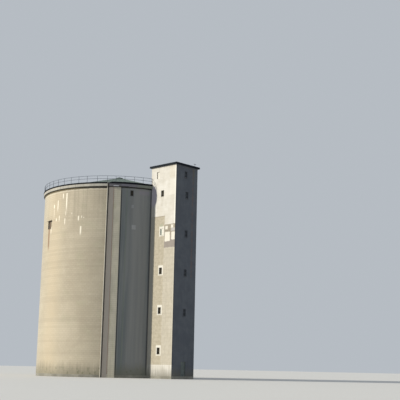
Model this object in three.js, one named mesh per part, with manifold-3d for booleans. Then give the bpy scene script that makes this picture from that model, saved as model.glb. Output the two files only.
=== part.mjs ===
// Round concrete silo with a square stair tower against its wall.
// Millimetres, +Z up. The origin is on the silo's axis at ground level, and +X points to the tower.
import * as THREE from 'three';
import Module from 'manifold-3d';

const wasm = await Module();
wasm.setup();
const { Manifold, Mesh: SolidMesh } = wasm;

// Silo
const SILO_RADIUS = 12000;
const WALL_THICKNESS = 300;
const FLOOR_TOP = 400;
const WALL_TOP = 28560;
const WALL_SEGMENTS = 8;
const FACET_DEG = 2.5;
const GAP = 0.3;

// Ring beam and sheet coping at the eaves
const BEAM_INNER = 11700;
const BEAM_OUTER = 12230;
const BEAM_TOP = 29000;
const COPING_INNER = 12060;
const COPING_OUTER = 12270;
const COPING_TOP = 29190;
const COPING_LIP_INNER = 12234;
const COPING_LIP_BOTTOM = 28980;
const EAVES_JOINTS_DEG = [-180, -112, -49.5, 0, 90, 180];
// Notch in the beam and the coping that the riser pipe passes through
const NOTCH_BACK = 11930;
const NOTCH_ACROSS_0 = -1225;
const NOTCH_ACROSS_1 = -900;

// Conical roof shell and its cap
const ROOF_EDGE_RADIUS = 11990;
const ROOF_EDGE_TOP = 29077;
const ROOF_SLOPE = 0.2845;
const ROOF_THICKNESS = 220;
const CURB_INNER = 400;
const CURB_OUTER = 520;
const CURB_BOTTOM = 32200;
const CURB_TOP = 32400;
const CAP_RADIUS = 580;
const CAP_EDGE_TOP = 32450;
const CAP_TOP = 32540;
const ROOF_SECTORS = 4;

// Railing on the coping
const RAIL_RADIUS = 12150;
const RAIL_HEIGHT = 1010;
const MID_RAIL_HEIGHT = 550;
const POST_WIDTH = 56;
const RAIL_WIDTH = 50;
const POST_PLATE = 140;
const POST_PITCH_DEG = 6.871;
const FIRST_POST_DEG = 5.7;
const RAIL_END_DEG = 0.3;
const RAIL_PANELS = 7;
// Posts that stand a little off the even pitch, counted from the first.
const POST_SHIFT_DEG = { 43: 0.95, 44: 1.5, 45: 0.75, 46: 0.3, 47: 0.45 };
const POSTS_PER_PANEL = 7;

// Stair tower
const TOWER_X0 = 11440;
const TOWER_X1 = 16700;
const TOWER_Y0 = -3590;
const TOWER_Y1 = 1120;
const TOWER_WALL = 300;
const TOWER_WALL_TOP = 31830;
const TOWER_ROOF_TOP = 32100;
const TOWER_ROOF_OVERHANG = 250;
const STOREY_FLOOR_TOPS = [29200, 26250, 20350, 14450, 8550];
const STOREY_FLOOR_THICKNESS = 200;

// Tower windows: sill heights down the lit side, and down the outer face
const SIDE_WINDOW_X = 13580;
const SIDE_WINDOW_WIDTH = 620;
const SIDE_WINDOW_HEIGHT = 980;
const SIDE_SILLS = [27100, 21200, 15300, 9400, 3500];
const FRONT_WINDOW_Y = -1440;
const FRONT_WINDOW_WIDTH = 560;
const FRONT_WINDOW_HEIGHT = 960;
const FRONT_SILLS = [26890, 20990, 15090, 9190];
const TOP_WINDOW_Y = -1750;
const TOP_WINDOW_SILL = 30080;
const TOP_WINDOW_HEIGHT = 900;
const NICHE_X = 12600;
const NICHE_WIDTH = 600;
const NICHE_SILL = 30000;
const NICHE_HEIGHT = 1080;
const NICHE_DEPTH = 110;

// Doors
const DOOR_WIDTH = 1000;
const DOOR_HEIGHT = 2100;
const DOOR_Y = -1660;
const ROOF_DOOR_WIDTH = 800;
const ROOF_DOOR_HEIGHT = 1800;
const ROOF_DOOR_Y = -1640;
const ROOF_DOOR_SILL = 29480;
const LEAF_THICKNESS = 60;
const LEAF_SETBACK = 120;

// Silo wall openings: centre angle, sill, width and height
const WALL_WINDOW = { deg: -32.35, sill: 27240, width: 480, height: 780 };
const SIDE_HATCH = { deg: -104.2, sill: 23270, width: 900, height: 940 };

// Pilaster: a shallow flat strip up the wall to the underside of the ring beam
const PILASTER_DEG = -44.8;
const PILASTER_HALF_WIDTH = 927;
const PILASTER_FACE = 12040;

// Riser pipe beside the pilaster, from the ground up through the notch to the coping's top
const PIPE_RADIUS = 110;
const PIPE_TOP = 29190;
const PIPE_ACROSS = -1110;
const PIPE_OUT = 12062;
const BRACKET_HEIGHTS = [1500, 6000, 10500, 15000, 19500, 24000, 27300];
const BRACKET_STRAP = 14;
const BRACKET_DEG_0 = -50.85;
const BRACKET_DEG_1 = -49.36;

// Mast on the tower roof, with a short arm across its top
const MAST_X = 16500;
const MAST_Y = 660;
const MAST_HEIGHT = 500;
const MAST_HALF_WIDTH = 20;
const MAST_ARM_BOTTOM = 32530;
const MAST_ARM_TOP = 32590;
const MAST_ARM_HALF_LENGTH = 250;

const DEG = Math.PI / 180;

// Solids as triangle lists

function solid(points, faces) {
  const triangles = [];
  for (const face of faces) {
    for (let i = 1; i + 1 < face.length; i += 1) {
      triangles.push(face[0], face[i], face[i + 1]);
    }
  }
  const mesh = new SolidMesh({
    numProp: 3,
    vertProperties: new Float32Array(points.flat()),
    triVerts: new Uint32Array(triangles),
  });
  return new Manifold(mesh);
}

// A prism over a convex outline given counter-clockwise.
function prism(outline, z0, z1) {
  const n = outline.length;
  const points = [];
  for (const [x, y] of outline) {
    points.push([x, y, z0]);
  }
  for (const [x, y] of outline) {
    points.push([x, y, z1]);
  }
  const faces = [];
  faces.push(Array.from({ length: n }, (_, i) => n - 1 - i));
  faces.push(Array.from({ length: n }, (_, i) => n + i));
  for (let i = 0; i < n; i += 1) {
    const j = (i + 1) % n;
    faces.push([i, j, n + j, n + i]);
  }
  return solid(points, faces);
}

function box(x0, x1, y0, y1, z0, z1) {
  return prism([[x0, y0], [x1, y0], [x1, y1], [x0, y1]], z0, z1);
}

function polar(radius, deg) {
  return [radius * Math.cos(deg * DEG), radius * Math.sin(deg * DEG)];
}

// A full disc or cylinder with facets on the common angles.
function disc(radius, z0, z1, stepDeg = FACET_DEG) {
  const outline = [];
  for (let deg = 0; deg < 360; deg += stepDeg) {
    outline.push(polar(radius, deg));
  }
  return prism(outline, z0, z1);
}

// The angles of a sector: both ends and the common facet angles between them.
function sectorAngles(deg0, deg1) {
  const angles = [deg0];
  const first = Math.floor(deg0 / FACET_DEG) + 1;
  for (let k = first; k * FACET_DEG < deg1 - 0.02; k += 1) {
    if (k * FACET_DEG > deg0 + 0.02) {
      angles.push(k * FACET_DEG);
    }
  }
  angles.push(deg1);
  return angles;
}

// A sector swept about the axis. The profile is a list of [radius, z], convex, counter-clockwise.
function sweep(profile, deg0, deg1) {
  const angles = sectorAngles(deg0, deg1);
  const n = profile.length;
  const points = [];
  for (const deg of angles) {
    const common = Math.round(deg / FACET_DEG) * FACET_DEG;
    const low = Math.floor(deg / FACET_DEG + 1e-9) * FACET_DEG;
    const onFacet = Math.abs(common - deg) < 1e-9;
    const flat = onFacet ? 1 : Math.cos(FACET_DEG / 2 * DEG) / Math.cos((deg - low - FACET_DEG / 2) * DEG);
    for (const [radius, z] of profile) {
      points.push([...polar(radius * flat, deg), z]);
    }
  }
  const faces = [];
  faces.push(Array.from({ length: n }, (_, i) => i));
  const last = (angles.length - 1) * n;
  faces.push(Array.from({ length: n }, (_, i) => last + n - 1 - i));
  for (let a = 0; a + 1 < angles.length; a += 1) {
    for (let i = 0; i < n; i += 1) {
      const j = (i + 1) % n;
      faces.push([a * n + i, (a + 1) * n + i, (a + 1) * n + j, a * n + j]);
    }
  }
  return solid(points, faces);
}

function ring(inner, outer, z0, z1, deg0, deg1) {
  return sweep([[inner, z0], [outer, z0], [outer, z1], [inner, z1]], deg0, deg1);
}

// A box square to the silo's radius at the given angle: out and across, then height.
function radialBox(deg, out0, out1, across0, across1, z0, z1) {
  const [c, s] = polar(1, deg);
  const at = (out, across) => [out * c - across * s, out * s + across * c];
  const outline = [at(out0, across0), at(out1, across0), at(out1, across1), at(out0, across1)];
  return prism(outline, z0, z1);
}

function mesh(name, body, material) {
  const raw = body.getMesh();
  const geometry = new THREE.BufferGeometry();
  const position = new Float32Array(raw.vertProperties.length);
  position.set(raw.vertProperties);
  geometry.setAttribute('position', new THREE.BufferAttribute(position, 3));
  geometry.setIndex(new THREE.BufferAttribute(new Uint32Array(raw.triVerts), 1));
  const part = new THREE.Mesh(geometry, new THREE.MeshStandardMaterial(material));
  part.name = name;
  return part;
}

// Materials

const CONCRETE = { color: 0xb9b29c, roughness: 0.92, metalness: 0.0 };
const BEAM_CONCRETE = { color: 0xc4c0b4, roughness: 0.9, metalness: 0.0 };
const PAINTED_RENDER = { color: 0xdcd6c4, roughness: 0.88, metalness: 0.0 };
const FLOOR_CONCRETE = { color: 0x8f8b80, roughness: 0.95, metalness: 0.0 };
const ROOF_FELT = { color: 0x646b60, roughness: 0.95, metalness: 0.0 };
const DARK_SHEET = { color: 0x2b3236, roughness: 0.6, metalness: 0.6 };
const RAIL_STEEL = { color: 0x39424c, roughness: 0.55, metalness: 0.7 };
const PALE_STEEL = { color: 0xb4b3ac, roughness: 0.5, metalness: 0.6 };
const DOOR_STEEL = { color: 0x5b6468, roughness: 0.6, metalness: 0.4 };

const silo = new THREE.Group();
silo.name = 'concrete_silo';

function pad(i) {
  return String(i + 1).padStart(2, '0');
}

// The angle that the common gap takes up at a radius, halved.
function gapDeg(radius) {
  return GAP / 2 / radius / DEG;
}

// Cutters shared by several pieces

const siloClear = disc(SILO_RADIUS + GAP, -10, WALL_TOP);
const towerPlan = box(TOWER_X0 - GAP, 20000, TOWER_Y0 - GAP, TOWER_Y1 + GAP, 28000, 34000);

// Floors under the silo and the tower

silo.add(mesh('silo_floor_slab', disc(SILO_RADIUS, 0, FLOOR_TOP), FLOOR_CONCRETE));

const towerSlab = box(TOWER_X0, TOWER_X1, TOWER_Y0, TOWER_Y1, 0, FLOOR_TOP).subtract(siloClear);
silo.add(mesh('tower_floor_slab', towerSlab, FLOOR_CONCRETE));

// Silo wall

function wallOpening(opening) {
  const half = opening.width / 2;
  const top = opening.sill + opening.height;
  return radialBox(opening.deg, 11000, 13000, -half, half, opening.sill, top);
}

for (let i = 0; i < WALL_SEGMENTS; i += 1) {
  const step = 360 / WALL_SEGMENTS;
  const deg0 = i * step - 180 + gapDeg(SILO_RADIUS);
  const deg1 = (i + 1) * step - 180 - gapDeg(SILO_RADIUS);
  const name = `silo_wall_${pad(i)}`;
  const within = (opening) => opening.deg > deg0 && opening.deg < deg1;
  const wallBand = (z0, z1) => ring(SILO_RADIUS - WALL_THICKNESS, SILO_RADIUS, z0, z1, deg0, deg1);
  if (within(SIDE_HATCH)) {
    // The hatch's segment is cast in lifts: below it, either side of it and above it.
    const head = SIDE_HATCH.sill + SIDE_HATCH.height;
    const sides = wallBand(SIDE_HATCH.sill, head).subtract(wallOpening(SIDE_HATCH)).decompose();
    silo.add(mesh(`${name}_below_hatch`, wallBand(FLOOR_TOP, SIDE_HATCH.sill), CONCRETE));
    silo.add(mesh(`${name}_hatch_jamb_a`, sides[0], CONCRETE));
    silo.add(mesh(`${name}_hatch_jamb_b`, sides[1], CONCRETE));
    silo.add(mesh(`${name}_above_hatch`, wallBand(head, WALL_TOP), CONCRETE));
  } else if (within(WALL_WINDOW)) {
    silo.add(mesh(name, wallBand(FLOOR_TOP, WALL_TOP).subtract(wallOpening(WALL_WINDOW)), CONCRETE));
  } else {
    silo.add(mesh(name, wallBand(FLOOR_TOP, WALL_TOP), CONCRETE));
  }
}

const pipeNotch = radialBox(
  PILASTER_DEG,
  NOTCH_BACK,
  13000,
  NOTCH_ACROSS_0,
  NOTCH_ACROSS_1,
  WALL_TOP - 100,
  30000,
);

// Ring beam, coping and roof, all stopped at the tower

// The coping is a flat top with a lip that hangs over the beam's face.
function copingSector(deg0, deg1) {
  const top = ring(COPING_INNER, COPING_OUTER, BEAM_TOP, COPING_TOP, deg0, deg1);
  const lip = ring(COPING_LIP_INNER, COPING_OUTER, COPING_LIP_BOTTOM, COPING_TOP, deg0, deg1);
  return top.add(lip);
}

for (let i = 0; i + 1 < EAVES_JOINTS_DEG.length; i += 1) {
  const deg0 = EAVES_JOINTS_DEG[i] + gapDeg(SILO_RADIUS);
  const deg1 = EAVES_JOINTS_DEG[i + 1] - gapDeg(SILO_RADIUS);
  const beam = ring(BEAM_INNER, BEAM_OUTER, WALL_TOP, BEAM_TOP, deg0, deg1);
  const coping = copingSector(deg0, deg1);
  silo.add(mesh(`ring_beam_${pad(i)}`, beam.subtract(towerPlan).subtract(pipeNotch), BEAM_CONCRETE));
  silo.add(mesh(`coping_${pad(i)}`, coping.subtract(towerPlan).subtract(pipeNotch), DARK_SHEET));
}

function roofTopAt(radius) {
  return ROOF_EDGE_TOP + (ROOF_EDGE_RADIUS - radius) * ROOF_SLOPE;
}

function roofSector(deg0, deg1) {
  const seatInner = ROOF_EDGE_RADIUS - (BEAM_TOP + ROOF_THICKNESS - ROOF_EDGE_TOP) / ROOF_SLOPE;
  const edge = sweep([
    [seatInner, BEAM_TOP],
    [ROOF_EDGE_RADIUS, BEAM_TOP],
    [ROOF_EDGE_RADIUS, ROOF_EDGE_TOP],
    [seatInner, roofTopAt(seatInner)],
  ], deg0, deg1);
  const slope = sweep([
    [CURB_INNER, roofTopAt(CURB_INNER) - ROOF_THICKNESS],
    [seatInner, roofTopAt(seatInner) - ROOF_THICKNESS],
    [seatInner, roofTopAt(seatInner)],
    [CURB_INNER, roofTopAt(CURB_INNER)],
  ], deg0, deg1);
  const curb = ring(CURB_INNER, CURB_OUTER, CURB_BOTTOM, CURB_TOP, deg0, deg1);
  return edge.add(slope).add(curb);
}

for (let i = 0; i < ROOF_SECTORS; i += 1) {
  const step = 360 / ROOF_SECTORS;
  const deg0 = i * step - 180;
  const deg1 = (i + 1) * step - 180;
  const mid = (deg0 + deg1) / 2;
  // Each sector is moved out by the common gap, so that its straight sides stay clear.
  const [dx, dy] = polar(GAP, mid);
  const cut = roofSector(deg0, deg1).translate([dx, dy, 0]).subtract(towerPlan);
  silo.add(mesh(`roof_sector_${pad(i)}`, cut, ROOF_FELT));
}

const capOutline = [];
for (let deg = 0; deg < 360; deg += 10) {
  capOutline.push(polar(CAP_RADIUS, deg));
}
const capPoints = [];
for (const [x, y] of capOutline) {
  capPoints.push([x, y, CURB_TOP]);
}
for (const [x, y] of capOutline) {
  capPoints.push([x, y, CAP_EDGE_TOP]);
}
capPoints.push([0, 0, CAP_TOP]);
const capFaces = [Array.from({ length: 36 }, (_, i) => 35 - i)];
for (let i = 0; i < 36; i += 1) {
  const j = (i + 1) % 36;
  capFaces.push([i, j, 36 + j, 36 + i]);
  capFaces.push([36 + i, 36 + j, 72]);
}
silo.add(mesh('roof_cap', solid(capPoints, capFaces), DARK_SHEET));

// Railing

function railPanel(deg0, deg1, posts) {
  const half = RAIL_WIDTH / 2;
  const r0 = RAIL_RADIUS - half;
  const r1 = RAIL_RADIUS + half;
  const top = COPING_TOP + RAIL_HEIGHT;
  const mid = COPING_TOP + MID_RAIL_HEIGHT;
  let body = ring(r0, r1, top - RAIL_WIDTH, top, deg0, deg1);
  body = body.add(ring(r0, r1, mid - half, mid + half, deg0, deg1));
  for (const deg of posts) {
    const w = POST_WIDTH / 2;
    const p = POST_PLATE / 2;
    const rc = RAIL_RADIUS;
    body = body.add(radialBox(deg, rc - w, rc + w, -w, w, COPING_TOP, top - 10));
    body = body.add(radialBox(deg, rc - p, rc + p, -p, p, COPING_TOP, COPING_TOP + 14));
  }
  return body;
}

for (let i = 0; i < RAIL_PANELS; i += 1) {
  const count = i === RAIL_PANELS - 1 ? POSTS_PER_PANEL + 1 : POSTS_PER_PANEL;
  const start = FIRST_POST_DEG + i * POSTS_PER_PANEL * POST_PITCH_DEG;
  const shift = (k) => POST_SHIFT_DEG[i * POSTS_PER_PANEL + k] || 0;
  const posts = Array.from({ length: count }, (_, k) => start + k * POST_PITCH_DEG + shift(k));
  const last = i === RAIL_PANELS - 1 ? 2 * RAIL_END_DEG : POST_PITCH_DEG - 2 * gapDeg(RAIL_RADIUS);
  const deg0 = start - RAIL_END_DEG + gapDeg(RAIL_RADIUS);
  const deg1 = deg0 + (count - 1) * POST_PITCH_DEG + last;
  silo.add(mesh(`railing_${pad(i)}`, railPanel(deg0, deg1, posts), RAIL_STEEL));
}

// Pilaster

const shaft = radialBox(
  PILASTER_DEG,
  11500,
  PILASTER_FACE,
  -PILASTER_HALF_WIDTH,
  PILASTER_HALF_WIDTH,
  0,
  WALL_TOP,
).subtract(disc(SILO_RADIUS + GAP, -10, 30000));
silo.add(mesh('pilaster_shaft', shaft, CONCRETE));

// Riser pipe with its brackets on the silo wall

// A round of the pipe, or of a collar on it.
function pipeRound(radius, z0, z1) {
  const [c, s] = polar(1, PILASTER_DEG);
  const outline = [];
  for (let deg = 0; deg < 360; deg += 15) {
    const [x, y] = polar(radius, deg);
    outline.push([PIPE_OUT * c - PIPE_ACROSS * s + x, PIPE_OUT * s + PIPE_ACROSS * c + y]);
  }
  return prism(outline, z0, z1);
}

// A collar round the pipe and a strap that lies on the wall on both sides of it.
function bracket(z) {
  const z0 = z - 45;
  const z1 = z + 45;
  const collar = pipeRound(PIPE_RADIUS + 16, z0, z1).subtract(disc(SILO_RADIUS + GAP, z0 - 10, z1 + 10));
  const inner = SILO_RADIUS + GAP;
  return collar.add(ring(inner, inner + BRACKET_STRAP, z0, z1, BRACKET_DEG_0, BRACKET_DEG_1));
}

function pipe() {
  let body = pipeRound(PIPE_RADIUS, 0, PIPE_TOP);
  for (const z of BRACKET_HEIGHTS) {
    body = body.add(bracket(z));
  }
  return body;
}
silo.add(mesh('riser_pipe', pipe(), PALE_STEEL));

// Stair tower

const inY0 = TOWER_Y0 + TOWER_WALL;
const inY1 = TOWER_Y1 - TOWER_WALL;
const inX1 = TOWER_X1 - TOWER_WALL;
const backX1 = TOWER_X0 + TOWER_WALL;

function sideWall(y0, y1) {
  return box(TOWER_X0, TOWER_X1, y0, y1, FLOOR_TOP, TOWER_WALL_TOP).subtract(siloClear);
}

function sideWindows(y0, y1) {
  let cut = null;
  for (const sill of SIDE_SILLS) {
    const x1 = SIDE_WINDOW_X + SIDE_WINDOW_WIDTH;
    const hole = box(SIDE_WINDOW_X, x1, y0 - 50, y1 + 50, sill, sill + SIDE_WINDOW_HEIGHT);
    cut = cut ? cut.add(hole) : hole;
  }
  return cut;
}

function niche(y0, y1) {
  return box(NICHE_X, NICHE_X + NICHE_WIDTH, y0, y1, NICHE_SILL, NICHE_SILL + NICHE_HEIGHT);
}

const nearSide = sideWall(TOWER_Y0, inY0)
  .subtract(sideWindows(TOWER_Y0, inY0))
  .subtract(niche(TOWER_Y0 - 50, TOWER_Y0 + NICHE_DEPTH));
const farSide = sideWall(inY1, TOWER_Y1)
  .subtract(sideWindows(inY1, TOWER_Y1))
  .subtract(niche(TOWER_Y1 - NICHE_DEPTH, TOWER_Y1 + 50));
silo.add(mesh('tower_side_wall_near', nearSide, PAINTED_RENDER));
silo.add(mesh('tower_side_wall_far', farSide, PAINTED_RENDER));

let outer = box(inX1, TOWER_X1, inY0, inY1, FLOOR_TOP, TOWER_WALL_TOP);
for (const sill of FRONT_SILLS) {
  const y1 = FRONT_WINDOW_Y + FRONT_WINDOW_WIDTH;
  const top = sill + FRONT_WINDOW_HEIGHT;
  outer = outer.subtract(box(inX1 - 50, TOWER_X1 + 50, FRONT_WINDOW_Y, y1, sill, top));
}
outer = outer.subtract(box(
  inX1 - 50,
  TOWER_X1 + 50,
  TOP_WINDOW_Y,
  TOP_WINDOW_Y + FRONT_WINDOW_WIDTH,
  TOP_WINDOW_SILL,
  TOP_WINDOW_SILL + TOP_WINDOW_HEIGHT,
));
outer = outer.subtract(box(
  inX1 - 50,
  TOWER_X1 + 50,
  DOOR_Y,
  DOOR_Y + DOOR_WIDTH,
  FLOOR_TOP - 50,
  FLOOR_TOP + DOOR_HEIGHT,
));
silo.add(mesh('tower_outer_wall', outer, PAINTED_RENDER));

const back = box(TOWER_X0, backX1, inY0, inY1, WALL_TOP, TOWER_WALL_TOP).subtract(box(
  TOWER_X0 - 50,
  backX1 + 50,
  ROOF_DOOR_Y,
  ROOF_DOOR_Y + ROOF_DOOR_WIDTH,
  ROOF_DOOR_SILL,
  ROOF_DOOR_SILL + ROOF_DOOR_HEIGHT,
));
silo.add(mesh('tower_back_wall', back, PAINTED_RENDER));

const storeyNames = ['tower_floor_5', 'tower_floor_4', 'tower_floor_3', 'tower_floor_2', 'tower_floor_1'];
STOREY_FLOOR_TOPS.forEach((top, i) => {
  const x0 = top > WALL_TOP ? backX1 : TOWER_X0;
  const slab = box(x0, inX1, inY0, inY1, top - STOREY_FLOOR_THICKNESS, top).subtract(siloClear);
  silo.add(mesh(storeyNames[i], slab, FLOOR_CONCRETE));
});

silo.add(mesh('tower_roof', box(
  TOWER_X0 - TOWER_ROOF_OVERHANG,
  TOWER_X1 + TOWER_ROOF_OVERHANG,
  TOWER_Y0 - TOWER_ROOF_OVERHANG,
  TOWER_Y1 + TOWER_ROOF_OVERHANG,
  TOWER_WALL_TOP,
  TOWER_ROOF_TOP,
), DARK_SHEET));

// Doors stand in their openings

silo.add(mesh('tower_door', box(
  TOWER_X1 - LEAF_SETBACK - LEAF_THICKNESS,
  TOWER_X1 - LEAF_SETBACK,
  DOOR_Y,
  DOOR_Y + DOOR_WIDTH,
  FLOOR_TOP,
  FLOOR_TOP + DOOR_HEIGHT,
), DOOR_STEEL));

silo.add(mesh('roof_door', box(
  TOWER_X0 + LEAF_SETBACK,
  TOWER_X0 + LEAF_SETBACK + LEAF_THICKNESS,
  ROOF_DOOR_Y,
  ROOF_DOOR_Y + ROOF_DOOR_WIDTH,
  ROOF_DOOR_SILL,
  ROOF_DOOR_SILL + ROOF_DOOR_HEIGHT,
), DOOR_STEEL));

// Short mast on the tower roof

function aboutMast(half, halfAcross, z0, z1) {
  return box(MAST_X - half, MAST_X + half, MAST_Y - halfAcross, MAST_Y + halfAcross, z0, z1);
}

const mastFoot = aboutMast(90, 90, TOWER_ROOF_TOP, TOWER_ROOF_TOP + 30);
const mastRod = aboutMast(MAST_HALF_WIDTH, MAST_HALF_WIDTH, TOWER_ROOF_TOP, TOWER_ROOF_TOP + MAST_HEIGHT);
const mastArm = aboutMast(25, MAST_ARM_HALF_LENGTH, MAST_ARM_BOTTOM, MAST_ARM_TOP);
silo.add(mesh('roof_mast', mastFoot.add(mastRod).add(mastArm), RAIL_STEEL));

export default silo;
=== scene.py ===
from math import asin, cos, degrees, pi, radians, sin

import bmesh
import bpy
from mathutils import Matrix, Vector


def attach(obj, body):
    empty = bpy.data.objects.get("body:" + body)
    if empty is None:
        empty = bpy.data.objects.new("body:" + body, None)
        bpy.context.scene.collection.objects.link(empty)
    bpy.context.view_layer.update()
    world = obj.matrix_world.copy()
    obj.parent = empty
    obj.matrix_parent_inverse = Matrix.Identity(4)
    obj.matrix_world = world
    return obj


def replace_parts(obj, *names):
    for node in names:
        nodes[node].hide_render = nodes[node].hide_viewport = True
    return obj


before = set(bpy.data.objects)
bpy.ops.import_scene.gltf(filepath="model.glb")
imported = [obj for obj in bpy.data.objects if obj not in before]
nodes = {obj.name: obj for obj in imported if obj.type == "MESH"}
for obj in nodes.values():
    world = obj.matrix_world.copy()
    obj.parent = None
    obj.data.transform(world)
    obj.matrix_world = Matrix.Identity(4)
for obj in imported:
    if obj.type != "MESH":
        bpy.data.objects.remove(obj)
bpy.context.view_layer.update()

# Main sizes, in metres, as in the part's source.
RADIUS = 12.0
WALL = 0.3
FLOOR_TOP = 0.4
WALL_TOP = 28.56
COURSE, BLOCKS_ROUND = 0.3, 126
BEAM_IN, BEAM_OUT = 11.7, 12.23
BEAM_TOP = 29.0
COPING_IN, LIP_IN, COPING_OUT = 12.06, 12.234, 12.27
LIP_BOTTOM, COPING_TOP = 28.98, 29.19
PILASTER_DEG = -44.8
PILASTER_FACE = 12.04
PIPE_RADIUS, PIPE_SIDES, PIPE_LENGTH = 0.11, 32, 3.0
PIPE_TOP = 29.19
PIPE_ACROSS, PIPE_OUT = -1.11, 12.062
BRACKETS = (1.5, 6.0, 10.5, 15.0, 19.5, 24.0, 27.3)
BRACKET_DEG, BRACKET_BOLTS_DEG, BRACKET_HALF = (-50.85, -49.37), (-50.73, -49.52), 0.045
NOTCH_BACK, NOTCH_ACROSS = 11.965, (-1.225, -0.9)
NEAR_END_Y, FAR_END_Y = -3.45, 0.97  # where the ring beam meets the tower's side walls
ROOF_EDGE = 11.99
ROOF_EDGE_TOP = 29.077
ROOF_SLOPE = 0.2845
ROOF_THICK, ROOF_SEAT = 0.22, 11.488
CURB_IN, CURB_OUT, CURB_TOP = 0.4, 0.52, 32.4
CAP_RADIUS, CAP_TOP = 0.58, 32.54
RAIL_R = 12.15
RAIL_TOP, MID_RAIL = 30.2, 29.74
FIRST_POST, POST_PITCH, POST_COUNT = 5.7, 6.871, 50
POST_SHIFT = {43: 0.95, 44: 1.5, 45: 0.75, 46: 0.3, 47: 0.45}
POSTS = [FIRST_POST + POST_PITCH * k + POST_SHIFT.get(k, 0.0) for k in range(POST_COUNT)]
TOWER_X0, TOWER_X1 = 11.44, 16.7
TOWER_Y0, TOWER_Y1 = -3.59, 1.12
ROOF_TOP = 32.1
ROOF_OVERHANG = 0.25
SIDE_MIDDLE, SIDE_SIZE = 13.89, (0.62, 0.98)
SIDE_SILLS = (27.1, 21.2, 15.3, 9.4, 3.5)
FRONT_MIDDLE, FRONT_SIZE = -1.16, (0.56, 0.96)
FRONT_SILLS = (26.89, 20.99, 15.09, 9.19)
TOP_MIDDLE, TOP_SILL, TOP_SIZE = -1.47, 30.08, (0.56, 0.9)
NICHE_MIDDLE, NICHE_SILL, NICHE_HALF, NICHE_HEIGHT = 12.9, 30.0, 0.3, 1.08
DOOR_SIZE, ROOF_DOOR_SIZE, DOOR_SETBACK = (1.0, 2.1), (0.8, 1.8), 0.12
ROOF_DOOR_MIDDLE, ROOF_DOOR_SILL = -1.24, 29.48
WALL_WINDOW = {"deg": -32.35, "sill": 27.24, "w": 0.48, "h": 0.78}
SIDE_HATCH = {"deg": -104.2, "sill": 23.27, "w": 0.9, "h": 0.94}
ORIGIN = Vector((0, 0, 0))
UP = Vector((0, 0, 1))


# Small mesh tools

def polar(r, deg, z=0):
    a = radians(deg)
    return Vector((r * cos(a), r * sin(a), z))


def axes(out, across, up=UP):
    """A matrix whose columns are across, out and up."""
    m = Matrix.Identity(4)
    for i, v in enumerate((across, out, up)):
        for j in range(3):
            m[j][i] = v[j]
    return m


def radial(deg):
    """Across, out and up for a thing that faces away from the silo's axis."""
    out = polar(1, deg)
    return axes(out, Vector((-out.y, out.x, 0)))


def block(bm, origin, frame_m, lo, hi, bevel=0, segments=1):
    """A box in a local frame (across, out, up), with its edges eased."""
    size = Vector(hi) - Vector(lo)
    centre = (Vector(hi) + Vector(lo)) / 2
    scale = Matrix.Diagonal((size.x, size.y, size.z, 1))
    m = Matrix.Translation(origin) @ frame_m @ Matrix.Translation(centre) @ scale
    made = bmesh.ops.create_cube(bm, size=1, matrix=m)
    if bevel > 0:
        edges = {e for v in made["verts"] for e in v.link_edges}
        bmesh.ops.bevel(bm, geom=list(edges), offset=bevel, segments=segments, profile=0.5,
                        affect="EDGES", material=-1)


def rod(bm, start, end, radius, sides=12, tip=None):
    """A straight round bar between two points, or a taper where a tip radius is given."""
    turn = (end - start).to_track_quat("Z", "Y").to_matrix().to_4x4()
    bmesh.ops.create_cone(bm, cap_ends=True, segments=sides, radius1=radius,
                          radius2=radius if tip is None else tip, depth=(end - start).length,
                          matrix=Matrix.Translation((start + end) / 2) @ turn)


def turned(bm, section, deg0, deg1, step, closed=True):
    """A section of (radius, z) corners spun about the silo's axis. A full turn closes on itself.
    An open section starts and ends on the axis."""
    full = abs(deg1 - deg0 - 360) < 1e-6
    at_start = Matrix.Rotation(radians(deg0), 3, "Z")
    verts = [bm.verts.new(at_start @ Vector((r, 0, z))) for r, z in section]
    ends = verts[1:] + verts[:1] if closed else verts[1:]
    geom = verts + [bm.edges.new(pair) for pair in zip(verts, ends)]
    if not full:
        geom.append(bm.faces.new(verts))
    before = set(bm.verts) - set(verts)
    bmesh.ops.spin(bm, geom=geom, cent=ORIGIN, axis=UP, dvec=ORIGIN,
                   angle=radians(deg1 - deg0), steps=max(2, round((deg1 - deg0) / step)),
                   use_merge=full, use_duplicate=False)
    if not closed:
        bmesh.ops.remove_doubles(bm, verts=[v for v in bm.verts if v not in before], dist=1e-5)


def plate(bm, deg0, deg1, z0, z1, radii, ease, step):
    """A thin plate bent to the wall, from the radii of its back, its edge and its face."""
    back, edge, face = radii
    turned(bm, [(back, z0), (edge, z0), (face, z0 + ease), (face, z1 - ease), (edge, z1),
                (back, z1)], deg0, deg1, step)


def bent_rail(bm, radius, z, thick, deg0, deg1, step):
    """A round bar of eight sides bent round the silo's axis."""
    at_start = Matrix.Rotation(radians(deg0), 4, "Z") @ Matrix.Translation((radius, 0, z))
    upright = Matrix.Rotation(radians(90), 4, "X")
    made = bmesh.ops.create_circle(bm, cap_ends=True, radius=thick, segments=8,
                                   matrix=at_start @ upright)
    verts = made["verts"]
    faces = list({f for v in verts for f in v.link_faces})
    edges = list({e for v in verts for e in v.link_edges})
    bmesh.ops.spin(bm, geom=verts + edges + faces, cent=ORIGIN, axis=UP, dvec=ORIGIN,
                   angle=radians(deg1 - deg0), steps=round((deg1 - deg0) / step),
                   use_merge=False, use_duplicate=False)


def piece(name, bm, material, slot, sharp=32):
    bmesh.ops.recalc_face_normals(bm, faces=bm.faces)
    limit = radians(sharp)
    for f in bm.faces:
        f.smooth = True
    for e in bm.edges:
        e.smooth = len(e.link_faces) == 2 and e.calc_face_angle(pi) < limit
    mesh = bpy.data.meshes.new(name)
    bm.to_mesh(mesh)
    bm.free()
    mesh.materials.append(material)
    obj = bpy.data.objects.new(name, mesh)
    bpy.context.scene.collection.objects.link(obj)
    if slot is not None:
        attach(obj, "root")
    return obj


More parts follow.
